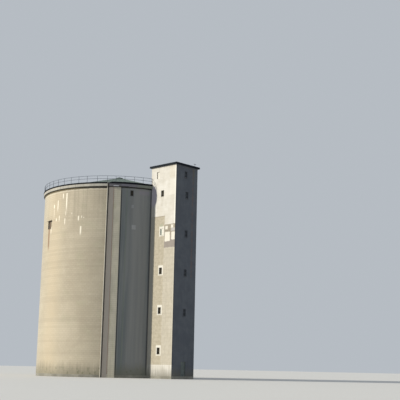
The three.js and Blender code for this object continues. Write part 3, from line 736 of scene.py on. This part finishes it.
FINISHES = {"tower_floor": FLOOR, "tower_side": RENDER, "tower_outer": RENDER, "tower_back": RENDER,
            "tower_roof": DARK, "tower_door": DOOR, "roof_door": DOOR, "roof_mast": RAIL,
            "pilaster_shaft": PILASTER}
for prefix, material in FINISHES.items():
    for node in (nodes[name] for name in named(prefix)):
        if not node.material_slots:
            node.data.materials.append(material)
        for slot in node.material_slots:
            slot.material = material


# Silo wall: a smooth shell with its openings and their reveals

def cut_opening(bm, opening):
    """Cut lines round the opening, take its faces out of both skins and bridge the reveals."""
    half = degrees(asin(opening["w"] / 2 / RADIUS))
    lo, hi = opening["deg"] - half, opening["deg"] + half
    z0, z1 = opening["sill"], opening["sill"] + opening["h"]
    middle = polar(1, opening["deg"])

    def skins(reach):
        near = cos(radians(reach))
        found = []
        for f in bm.faces:
            c = f.calc_center_median()
            flat = Vector((c.x, c.y, 0)).normalized()
            if abs(f.normal.z) < 0.5 and flat.dot(middle) > near:
                found.append(f)
        return found

    sides = ((ORIGIN, polar(1, lo + 90)), (ORIGIN, polar(1, hi + 90)), (UP * z0, UP), (UP * z1, UP))
    for co, no in sides:
        faces = skins(half + 1.5)
        geom = set(faces)
        for f in faces:
            geom.update(f.edges)
            geom.update(f.verts)
        bmesh.ops.bisect_plane(bm, geom=list(geom), dist=1e-6, plane_co=co, plane_no=no)
    bm.normal_update()
    inside = [f for f in skins(half) if z0 < f.calc_center_median().z < z1]
    bmesh.ops.delete(bm, geom=inside, context="FACES")
    rims = [e for e in bm.edges if len(e.link_faces) == 1]
    bmesh.ops.bridge_loops(bm, edges=rims)


bm = bmesh.new()
inner = RADIUS - WALL
shell = [(inner, FLOOR_TOP), (RADIUS, FLOOR_TOP), (RADIUS, WALL_TOP), (inner, WALL_TOP)]
turned(bm, shell, -180, 180, 0.75)
bmesh.ops.recalc_face_normals(bm, faces=bm.faces)
for opening in (WALL_WINDOW, SIDE_HATCH):
    cut_opening(bm, opening)
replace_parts(piece("silo_shell", bm, CONCRETE, "concrete"), *named("silo_wall"))

bm = bmesh.new()
foot = [(0, 0), (11.97, 0), (RADIUS, 0.03), (RADIUS, FLOOR_TOP), (0, FLOOR_TOP)]
turned(bm, foot, -180, 180, 0.75, closed=False)
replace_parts(piece("silo_foot", bm, FLOOR, "floor"), "silo_floor_slab")


# Eaves: ring beam, coping and roof

# The ring runs round to the tower's side walls, with a notch that the riser pipe passes through.
NEAR_END, FAR_END = (degrees(asin(y / BEAM_OUT)) for y in (NEAR_END_Y, FAR_END_Y))
NOTCH = [360 + PILASTER_DEG + degrees(asin(a / BEAM_OUT)) for a in NOTCH_ACROSS]
STRETCHES = ((FAR_END, NOTCH[0]), (NOTCH[1], 360 + NEAR_END))

beam = [(BEAM_IN, WALL_TOP), (BEAM_OUT - 0.05, WALL_TOP), (BEAM_OUT - 0.035, WALL_TOP + 0.015),
        (BEAM_OUT - 0.02, WALL_TOP), (BEAM_OUT, WALL_TOP + 0.02), (BEAM_OUT, BEAM_TOP),
        (BEAM_IN, BEAM_TOP)]
bm = bmesh.new()
for span in STRETCHES:
    turned(bm, beam, *span, 0.75)
turned(bm, [(BEAM_IN, WALL_TOP), (NOTCH_BACK, WALL_TOP), (NOTCH_BACK, BEAM_TOP),
            (BEAM_IN, BEAM_TOP)], *NOTCH, 0.6)
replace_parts(piece("eaves_beam", bm, BEAM, "beam"), *named("ring_beam"))

sheet = [(COPING_IN, BEAM_TOP), (LIP_IN, BEAM_TOP), (LIP_IN, LIP_BOTTOM + 0.005),
         (LIP_IN + 0.008, LIP_BOTTOM), (COPING_OUT - 0.008, LIP_BOTTOM),
         (COPING_OUT, LIP_BOTTOM + 0.01), (COPING_OUT, COPING_TOP - 0.015),
         (COPING_OUT - 0.015, COPING_TOP), (COPING_IN, COPING_TOP)]
bm = bmesh.new()
for span in STRETCHES:
    turned(bm, sheet, *span, 0.75)
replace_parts(piece("coping_sheet", bm, COPING, "dark_sheet"), *named("coping"))

bm = bmesh.new()
for k in range(60):
    deg = -178 + 6 * k
    if NEAR_END - 0.6 < deg < FAR_END + 0.6:
        continue
    lo = (-0.035, COPING_IN + 0.01, COPING_TOP - 0.001)
    block(bm, ORIGIN, radial(deg), lo, (0.035, COPING_OUT - 0.001, COPING_TOP + 0.007), 0.002)
piece("coping_joint_straps", bm, COPING, "dark_sheet")

# A low board on the coping, from the pipe to the tower
bm = bmesh.new()
toe = [(12.225, 29.189), (12.25, 29.189), (12.25, 29.262), (12.225, 29.262)]
turned(bm, toe, -47.5, NEAR_END - 0.2, 1)
piece("toe_board", bm, COPING, "dark_sheet")

# A pale patch low on the ring, above the pilaster
bm = bmesh.new()
radii = (BEAM_OUT - 0.01, BEAM_OUT + 0.006, BEAM_OUT + 0.01)
plate(bm, -45.9, -42.2, 28.57, 28.7, radii, 0.004, 0.4)
piece("ring_patch", bm, PALE, "beam")


BEHIND_TOWER = (-17.4, 5.35)  # the stretch, in degrees, where the tower's back wall ends the roof


def slope_z(r):
    return ROOF_EDGE_TOP + (ROOF_EDGE - r) * ROOF_SLOPE


# The roof runs to its edge, or to the tower's back wall where that stands in its way.
cone = [(ROOF_SEAT, BEAM_TOP), (ROOF_EDGE - 0.002, BEAM_TOP), (ROOF_EDGE - 0.002, ROOF_EDGE_TOP),
        *((r, slope_z(r)) for r in (9, 6, 3, CURB_OUT)), (CURB_OUT, CURB_TOP),
        (CURB_IN, CURB_TOP), *((r, slope_z(r) - ROOF_THICK) for r in (CURB_IN, 6))]
bm = bmesh.new()
turned(bm, cone, *BEHIND_TOWER, 1.1375)
bmesh.ops.bisect_plane(bm, geom=bm.verts[:] + bm.edges[:] + bm.faces[:], dist=1e-5,
                       plane_co=(TOWER_X0 - 0.005, 0, 0), plane_no=(1, 0, 0), clear_outer=True)
bmesh.ops.holes_fill(bm, edges=[e for e in bm.edges if len(e.link_faces) == 1])
turned(bm, cone, BEHIND_TOWER[1], 360 + BEHIND_TOWER[0], 1.25)
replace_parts(piece("cone_roof", bm, FELT, "roof", sharp=20), *named("roof_sector"))

bm = bmesh.new()
for k in range(round(360 / LANE_DEG)):
    deg = -177.5 + LANE_DEG * k
    across = polar(1, deg + 90)
    down = (polar(1, deg) - UP * ROOF_SLOPE).normalized()
    reach = 11.2 if -19 < deg < 8 else 11.8
    start = polar(CURB_OUT + 0.04, deg, slope_z(CURB_OUT + 0.04))
    slope = axes(down, across, down.cross(across))
    block(bm, start, slope, (-0.05, 0, -0.012), (0.05, reach, 0.012), 0.004)
piece("roof_felt_laps", bm, FELT, "roof")

bm = bmesh.new()
turned(bm, [(0, CURB_TOP), (CAP_RADIUS - 0.02, CURB_TOP), (CAP_RADIUS, 32.412),
            (CAP_RADIUS, 32.438), (CAP_RADIUS - 0.015, 32.45), (0.3, 32.503),
            (0.06, CAP_TOP - 0.002), (0, CAP_TOP)], -180, 180, 7.5, closed=False)
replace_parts(piece("roof_cap_hat", bm, FELT, "dark_sheet", sharp=40), "roof_cap")
bm = bmesh.new()
rod(bm, UP * (CAP_TOP - 0.1), UP * (CAP_TOP + 0.005), 0.28, 24)
piece("roof_vent", bm, DARK, "dark_sheet")


# Railing: round tubes, plates and bolts

bm = bmesh.new()
for z, thick in ((RAIL_TOP - 0.0245, 0.0245), (MID_RAIL, 0.0235)):
    bent_rail(bm, RAIL_R, z, thick, POSTS[0] - 0.28, POSTS[-1] + 0.28, 0.75)
for deg in POSTS:
    p = polar(RAIL_R, deg, COPING_TOP)
    rod(bm, p + UP * 0.01, polar(RAIL_R, deg, RAIL_TOP - 0.03), 0.027)
    rod(bm, polar(RAIL_R, deg, MID_RAIL - 0.03), polar(RAIL_R, deg, MID_RAIL + 0.03), 0.033)
    rod(bm, p + UP * 0.012, p + UP * 0.06, 0.042, tip=0.028)
    block(bm, p, radial(deg), (-0.07, -0.07, 0), (0.07, 0.07, 0.014), 0.003)
    for sx in (-0.048, 0.048):
        for sy in (-0.048, 0.048):
            b = p + radial(deg).to_3x3() @ Vector((sx, sy, 0))
            rod(bm, b + UP * 0.012, b + UP * 0.026, 0.011, 6)
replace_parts(piece("railing_tubes", bm, RAIL, "rail", sharp=40), *named("railing"))


# Pilaster: the filled joint up its face

P_FRAME = radial(PILASTER_DEG)

bm = bmesh.new()
for z in range(1, 29):
    top = min(z + 0.499, WALL_TOP - 0.002)
    lo, hi = (-0.22, PILASTER_FACE - 0.002, z - 0.499), (-0.14, PILASTER_FACE + 0.006, top)
    block(bm, ORIGIN, P_FRAME, lo, hi, 0.002)
piece("pilaster_joint_strip", bm, SEALANT, "pipe")


# Riser pipe: a smooth pipe with collars, and brackets strapped to the wall

def pipe_at(z):
    return P_FRAME.to_3x3() @ Vector((PIPE_ACROSS, PIPE_OUT, z))


def pipe_bracket(z):
    """A clamp round the pipe and a strap on the wall, bolted on both sides."""
    rod(bm, pipe_at(z - BRACKET_HALF), pipe_at(z + BRACKET_HALF), PIPE_RADIUS + 0.015, PIPE_SIDES)
    plate(bm, *BRACKET_DEG, z - BRACKET_HALF, z + BRACKET_HALF, (11.99, 12.01, 12.014), 0.004, 0.3)
    for deg in BRACKET_BOLTS_DEG:
        for lift in (-0.025, 0.025):
            rod(bm, polar(12.008, deg, z + lift), polar(12.026, deg, z + lift), 0.011, 6)


bm = bmesh.new()
rim = pipe_at(PIPE_TOP - 0.012)
rod(bm, pipe_at(0), rim, PIPE_RADIUS - 0.001, PIPE_SIDES)
rod(bm, rim, pipe_at(PIPE_TOP), PIPE_RADIUS - 0.001, PIPE_SIDES, tip=PIPE_RADIUS - 0.012)
for k in range(10):
    z = 0.25 + PIPE_LENGTH * k
    rod(bm, pipe_at(z), pipe_at(z + 0.16), PIPE_RADIUS + 0.01, PIPE_SIDES)
for z in BRACKETS:
    pipe_bracket(z)
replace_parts(piece("riser_pipe_body", bm, PIPE, "pipe"), "riser_pipe")


# Closed openings on the silo wall

CLOSED_OPENINGS = (("closed_opening_upper", -31.5, 25.34, 25.84, 0.38, REPAIR),
                   ("closed_opening_lower", -30.2, 22.06, 22.75, 0.64, PALE_REPAIR))
for name, deg, z0, z1, w, mortar in CLOSED_OPENINGS:
    bm = bmesh.new()
    half = degrees(w / 2 / RADIUS)
    plate(bm, deg - half, deg + half, z0, z1, (11.98, 12.006, 12.012), 0.012, 0.3)
    piece(name, bm, mortar, "concrete")


# Windows

NEAR = axes(Vector((0, -1, 0)), Vector((1, 0, 0)))
FAR = axes(Vector((0, 1, 0)), Vector((-1, 0, 0)))
FRONT = axes(Vector((1, 0, 0)), Vector((0, 1, 0)))
BACK = axes(Vector((-1, 0, 0)), Vector((0, -1, 0)))
BAR, THICK, WINDOW_DEPTH = 0.045, 0.05, 0.11
BOARDED_SILL = SIDE_SILLS[1]


def casement(frame_bm, pane_bm, o, m4, size, depth, cols, rows):
    """A frame with its bars and a pane behind them, from the low middle of the opening."""
    w, h = size
    y0 = -depth - THICK
    for a0, a1 in ((-w / 2, -w / 2 + BAR), (w / 2 - BAR, w / 2)):
        block(frame_bm, o, m4, (a0, y0, 0), (a1, -depth, h), 0.004)
    for z0, z1 in ((0, BAR), (h - BAR, h)):
        block(frame_bm, o, m4, (-w / 2, y0, z0), (w / 2, -depth, z1), 0.004)
    for c in range(1, cols):
        a = -w / 2 + w * c / cols
        lo, hi = (a - BAR * 0.35, y0 + 0.008, BAR), (a + BAR * 0.35, -depth - 0.004, h - BAR)
        block(frame_bm, o, m4, lo, hi, 0.003)
    for r in range(1, rows):
        z = h * r / rows
        lo, hi = (-w / 2 + BAR, y0 + 0.008, z - BAR / 2), (w / 2 - BAR, -depth - 0.004, z + BAR / 2)
        block(frame_bm, o, m4, lo, hi, 0.003)
    block(pane_bm, o, m4, (-w / 2 + 0.01, y0 + 0.012, 0.01), (w / 2 - 0.01, y0 + 0.02, h - 0.01))


def sill_block(bm, o, m4, w, out=0.07):
    block(bm, o, m4, (-w / 2 - 0.06, -0.12, -0.055), (w / 2 + 0.06, out, 0), 0.008)


frames, panes, sills, shaded_sills = bmesh.new(), bmesh.new(), bmesh.new(), bmesh.new()
front_frames, front_panes = bmesh.new(), bmesh.new()
wall_window = polar(RADIUS, WALL_WINDOW["deg"], WALL_WINDOW["sill"])
facing, size = radial(WALL_WINDOW["deg"]), (WALL_WINDOW["w"], WALL_WINDOW["h"])
casement(frames, panes, wall_window, facing, size, 0.13, 1, 2)
sill_block(shaded_sills, wall_window, facing, size[0], 0.06)
hatch = polar(RADIUS, SIDE_HATCH["deg"], SIDE_HATCH["sill"])
HATCH_FACING = radial(SIDE_HATCH["deg"])
casement(frames, panes, hatch, HATCH_FACING, (SIDE_HATCH["w"], SIDE_HATCH["h"]), 0.14, 2, 1)
for sill in SIDE_SILLS:
    near, far = Vector((SIDE_MIDDLE, TOWER_Y0, sill)), Vector((SIDE_MIDDLE, TOWER_Y1, sill))
    if sill != BOARDED_SILL:
        casement(frames, panes, near, NEAR, SIDE_SIZE, WINDOW_DEPTH, 1, 2)
    casement(frames, panes, far, FAR, SIDE_SIZE, WINDOW_DEPTH, 1, 2)
    sill_block(sills, near, NEAR, SIDE_SIZE[0], 0.035)
    sill_block(shaded_sills, far, FAR, SIDE_SIZE[0])
front_windows = [(FRONT_MIDDLE, sill, FRONT_SIZE) for sill in FRONT_SILLS]
for middle, sill, size in front_windows + [(TOP_MIDDLE, TOP_SILL, TOP_SIZE)]:
    front = Vector((TOWER_X1, middle, sill))
    casement(front_frames, front_panes, front, FRONT, size, WINDOW_DEPTH, 2, 2)
    sill_block(shaded_sills, front, FRONT, size[0])
piece("window_frames", frames, FRAMES, "door")
piece("window_panes", panes, GLASS, "dark_sheet")
piece("outer_window_frames", front_frames, OUTER_FRAMES, "door")
piece("outer_window_panes", front_panes, SHADED_GLASS, "dark_sheet")
piece("window_sills", sills, SILL, "beam")
# The sills out of the light, darkened as painted shade.
piece("weathered_shaded_sills", shaded_sills, SHADED_SILL, "beam")

# The second window on the near side: a green pane on the left and a white board on the right
boarded = Vector((SIDE_MIDDLE, TOWER_Y0, BOARDED_SILL))
half, high = SIDE_SIZE[0] / 2, SIDE_SIZE[1]
frame_boxes = [((a0, -0.11, z0), (a1, -0.06, z1), 0.004) for a0, a1, z0, z1 in (
    (-half, BAR - half, 0, high), (half - BAR, half, 0, high), (-half, half, 0, 0.05),
    (-half, half, high - 0.05, high))]
planks = [((0.09 * k, -0.1, 0.04), (0.09 * k + 0.088, -0.075, 0.94), 0.003) for k in range(3)]
ledges = [((0, -0.078, z), (0.268, -0.062, z + 0.07), 0.003) for z in (0.18, 0.74)]
boards("boarded_leaf", WHITE, "render", boarded, NEAR, frame_boxes + planks + ledges)
boards("green_pane", GREEN_GLASS, "render", boarded, NEAR,
       [((-0.27, -0.098, 0.045), (0.01, -0.088, 0.935), 0.002)])

# Niche: a blind panel with a raised field, on both sides of the tower. The brown back shows left of
# and above the field: painted shade that widens the shadow of the niche's reveals.
fields, backs = bmesh.new(), bmesh.new()
for y, m4 in ((TOWER_Y0, NEAR), (TOWER_Y1, FAR)):
    o = Vector((NICHE_MIDDLE, y, NICHE_SILL))
    block(fields, o, m4, (-0.19, -0.1, 0), (NICHE_HALF, -0.09, NICHE_HEIGHT - 0.05), 0.005)
    block(backs, o, m4, (-NICHE_HALF, -0.11, 0), (NICHE_HALF, -0.098, NICHE_HEIGHT), 0.003)
piece("niche_panels", fields, WHITE, "render")
piece("niche_backs", backs, NICHE_SHADE, "render")

# Side hatch: a steel frame with its leaf, a hood over a sheet, and a board in the opening's top
HATCH_FOOT, HATCH_HEAD = -0.6, 0.7
boards("hatch_frame_and_leaf", RUSTY, "door", hatch, HATCH_FACING, [
    ((-0.5, -0.02, HATCH_FOOT), (-0.45, 0.06, HATCH_HEAD), 0.004),
    ((0.46, -0.02, HATCH_FOOT), (0.51, 0.06, HATCH_HEAD), 0.004),
    ((-0.5, -0.02, HATCH_FOOT - 0.05), (0.51, 0.07, HATCH_FOOT), 0.004),
    ((0, 0.02, HATCH_FOOT), (0.46, 0.045, 0.64), 0.004)])
bm = bmesh.new()
tilt = HATCH_FACING @ Matrix.Rotation(radians(-28), 4, "X")
block(bm, hatch + UP * HATCH_HEAD, tilt, (-0.6, -0.02, -0.008), (0.66, 0.36, 0.008), 0.003)
block(bm, hatch, HATCH_FACING, (-0.46, -0.004, HATCH_FOOT), (0, 0.02, -0.01), 0.004)
piece("hatch_hood_and_sheet", bm, DARK, "door")
boards("hatch_upper_board", CONCRETE, "concrete", hatch, HATCH_FACING,
       [((-0.448, -0.1, HATCH_HEAD), (0.448, -0.004, 0.938), 0.004)])


# Tower roof: felt, laps and edge clips

rx0, rx1 = TOWER_X0 - ROOF_OVERHANG, TOWER_X1 + ROOF_OVERHANG
ry0, ry1 = TOWER_Y0 - ROOF_OVERHANG, TOWER_Y1 + ROOF_OVERHANG
FLAT = Matrix.Identity(4)
FELT_INSET, CLIP_INSET, CLIP_REACH, CLIP_HALF = 0.12, 0.001, 0.128, 0.02
felt = [((rx0 + FELT_INSET, ry0 + FELT_INSET, ROOF_TOP - 0.004),
         (rx1 - FELT_INSET, ry1 - FELT_INSET, ROOF_TOP + 0.012), 0.004)]
for k in range(1, 6):
    x = rx0 + FELT_INSET + (rx1 - rx0 - 2 * FELT_INSET) * k / 6
    lo, hi = (x - 0.05, ry0 + 0.125, ROOF_TOP + 0.01), (x + 0.05, ry1 - 0.125, ROOF_TOP + 0.02)
    felt.append((lo, hi, 0.004))
boards("tower_roof_felt", FELT, "roof", ORIGIN, FLAT, felt)

clips = []
near_and_far = (ry0 + CLIP_INSET, ry1 - CLIP_INSET - CLIP_REACH)
back_and_front = (rx0 + CLIP_INSET, rx1 - CLIP_INSET - CLIP_REACH)
for k in range(10):
    x = rx0 + 0.03 + (rx1 - rx0 - 0.06) * k / 9
    clips += [(x - CLIP_HALF, x + CLIP_HALF, y0, y0 + CLIP_REACH) for y0 in near_and_far]
for k in range(1, 8):
    y = ry0 + (ry1 - ry0) * k / 8
    clips += [(x0, x0 + CLIP_REACH, y - CLIP_HALF, y + CLIP_HALF) for x0 in back_and_front]
boards("tower_roof_clips", DARK, "dark_sheet", ORIGIN, FLAT, [
    ((x0, y0, ROOF_TOP - 0.002), (x1, y1, ROOF_TOP + 0.012), 0.003) for x0, x1, y0, y1 in clips])


# Doors: frames, panels, hinges and handles

def door_fittings(name, o, m4, size):
    bm = bmesh.new()
    w, h = size
    y = -DOOR_SETBACK
    for a0, a1 in ((-w / 2, -w / 2 + 0.06), (w / 2 - 0.06, w / 2)):
        block(bm, o, m4, (a0, y, 0), (a1, y + 0.05, h), 0.004)
    block(bm, o, m4, (-w / 2, y, h - 0.06), (w / 2, y + 0.05, h), 0.004)
    for z0, z1 in ((0.16, h * 0.45), (h * 0.5, h - 0.2)):
        block(bm, o, m4, (-w / 2 + 0.15, y - 0.002, z0), (w / 2 - 0.15, y + 0.014, z1), 0.01, 2)
    for z in (0.25, h / 2, h - 0.35):
        block(bm, o, m4, (-w / 2 + 0.05, y + 0.01, z), (-w / 2 + 0.085, y + 0.062, z + 0.12), 0.006)
    turn = m4.to_3x3()
    lever = o + turn @ Vector((w / 2 - 0.16, y + 0.05, h * 0.48))
    across, out = turn @ Vector((1, 0, 0)), turn @ Vector((0, 1, 0))
    rod(bm, lever - out * 0.055, lever, 0.012)
    rod(bm, lever + across * 0.012, lever - across * 0.13, 0.01)
    block(bm, o, m4, (w / 2 - 0.19, y - 0.001, h * 0.48 - 0.1),
          (w / 2 - 0.13, y + 0.01, h * 0.48 + 0.08), 0.004)
    piece(name, bm, DOOR, "door")


door_fittings("tower_door_fittings", Vector((TOWER_X1, FRONT_MIDDLE, FLOOR_TOP)), FRONT, DOOR_SIZE)
roof_door = Vector((TOWER_X0, ROOF_DOOR_MIDDLE, ROOF_DOOR_SILL))
door_fittings("roof_door_fittings", roof_door, BACK, ROOF_DOOR_SIZE)


# Stage: floor, light and camera

bm = bmesh.new()
bmesh.ops.create_grid(bm, x_segments=1, y_segments=1, size=900,
                      matrix=Matrix.Translation((0, 0, -0.004)))
stage = Mat("studio_floor")
tone = stage.noise(stage.p, 0.02, 2, 0.5)
pale = stage.done(stage.mix(tone, (0.58, 0.58, 0.57), (0.61, 0.61, 0.6)), 0.9)
piece("studio_floor", bm, pale, None)

scene = bpy.context.scene
world = bpy.data.worlds.new("studio")
scene.world = world
world.use_nodes = True
background = world.node_tree.nodes["Background"]
background.inputs[0].default_value = (0.9, 0.97, 1.05, 1)
background.inputs[1].default_value = 0.52

SUN_DEG, SUN_ELEVATION = -127.7, 21  # where the light comes from, and its height in the sky
sun = bpy.data.lights.new("key", "SUN")
sun.energy = 4.7
sun.color = (1, 0.93, 0.8)
sun.angle = radians(0.9)
lamp = bpy.data.objects.new("key", sun)
scene.collection.objects.link(lamp)
elevation = radians(SUN_ELEVATION)
lamp.rotation_mode = "QUATERNION"
lamp.rotation_quaternion = polar(cos(elevation), SUN_DEG, sin(elevation)).to_track_quat("Z", "Y")
scene.view_settings.view_transform = "Standard"

# The camera stands where the photograph was taken from, 1.6 m above the ground.
TURN = radians(47.3)
PITCH, ROLL, FOCAL_PX, IMAGE_PX, SENSOR = 0.192, 0.02, 866, 400, 36
CAMERA_AT = (105.67, -94.62, 1.6)
ahead_flat = Vector((-cos(TURN), sin(TURN), 0))
right = Vector((sin(TURN), cos(TURN), 0))
ahead = ahead_flat * cos(PITCH) + UP * sin(PITCH)
up = UP * cos(PITCH) - ahead_flat * sin(PITCH)
image_right = right * cos(ROLL) + up * sin(ROLL)
image_up = up * cos(ROLL) - right * sin(ROLL)
lens = bpy.data.cameras.new("camera")
lens.sensor_width = SENSOR
lens.lens = FOCAL_PX / IMAGE_PX * SENSOR
lens.clip_start = 1
lens.clip_end = 2000
camera = bpy.data.objects.new("camera", lens)
scene.collection.objects.link(camera)
camera.matrix_world = Matrix.Translation(CAMERA_AT) @ axes(image_up, image_right, -ahead)
scene.camera = camera

bpy.context.view_layer.update()
